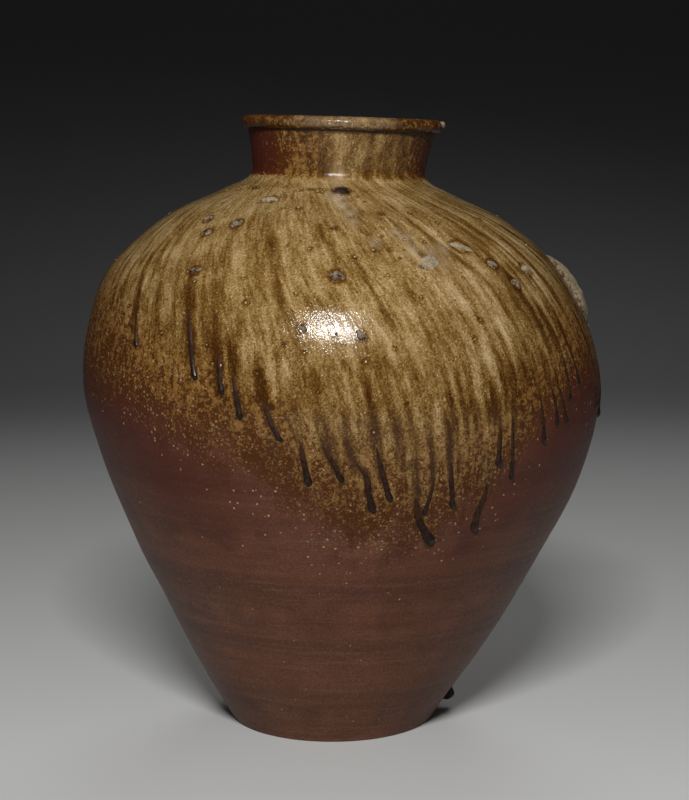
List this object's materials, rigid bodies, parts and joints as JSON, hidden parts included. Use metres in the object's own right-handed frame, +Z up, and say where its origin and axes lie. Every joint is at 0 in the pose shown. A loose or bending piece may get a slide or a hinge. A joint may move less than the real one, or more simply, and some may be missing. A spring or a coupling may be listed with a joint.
{
  "type": "storage jar",
  "caption": "Large hand-built stoneware storage jar: wide shoulder, narrow foot, short flared neck and rolled lip, with ash-glaze runs and kiln debris on the shoulder.",
  "frame": {"origin": "centre of the flat foot, on the surface the jar stands on", "axes": "+Z up through the mouth, -Y out of the front of the jar, +X to the right of a viewer facing the front"},
  "size_m": [0.4008, 0.4008, 0.4721],
  "materials": {
    "bare_clay": "semi-matt unglazed iron-bearing stoneware",
    "flashed_clay": "reddish stoneware with a light ash flash",
    "ash_glaze": "glossy streaked natural ash glaze, olive to tan",
    "run_glass": "dark glossy glass of the ash runs",
    "kiln_debris": "rough pale grit and clay fused to the jar"
  },
  "bodies": {
    "root": {"base_slab": "bare_clay", "lower_wall": "bare_clay", "middle_wall": "flashed_clay", "belly_wall": "ash_glaze", "shoulder_wall": "ash_glaze", "neck_wall": "ash_glaze", "rolled_lip": "ash_glaze", "glaze_run_01": "run_glass", "glaze_run_02": "run_glass", "glaze_run_03": "run_glass", "glaze_run_04": "run_glass", "glaze_run_05": "run_glass", "glaze_run_06": "run_glass", "glaze_run_07": "run_glass", "glaze_run_08": "run_glass", "glaze_run_09": "run_glass", "glaze_run_10": "run_glass", "glaze_run_11": "run_glass", "glaze_run_12": "run_glass", "glaze_run_13": "run_glass", "glaze_run_14": "run_glass", "glaze_run_15": "run_glass", "glaze_run_16": "run_glass", "glaze_run_17": "run_glass", "glaze_run_18": "run_glass", "glaze_run_19": "run_glass", "glaze_run_20": "run_glass", "glaze_run_21": "run_glass", "glaze_run_22": "run_glass", "glaze_run_23": "run_glass", "glaze_run_24": "run_glass", "kiln_grit_01": "kiln_debris", "kiln_grit_02": "kiln_debris", "kiln_grit_03": "kiln_debris", "kiln_grit_04": "kiln_debris", "kiln_grit_05": "kiln_debris", "kiln_grit_06": "kiln_debris", "kiln_grit_07": "kiln_debris", "kiln_grit_08": "kiln_debris", "kiln_grit_09": "kiln_debris", "kiln_grit_10": "kiln_debris", "kiln_grit_11": "kiln_debris", "kiln_grit_12": "kiln_debris", "kiln_grit_13": "kiln_debris", "kiln_grit_14": "kiln_debris", "kiln_shard": "kiln_debris", "foot_clod": "run_glass", "lip_crumb": "kiln_debris"}
  },
  "joints": []
}
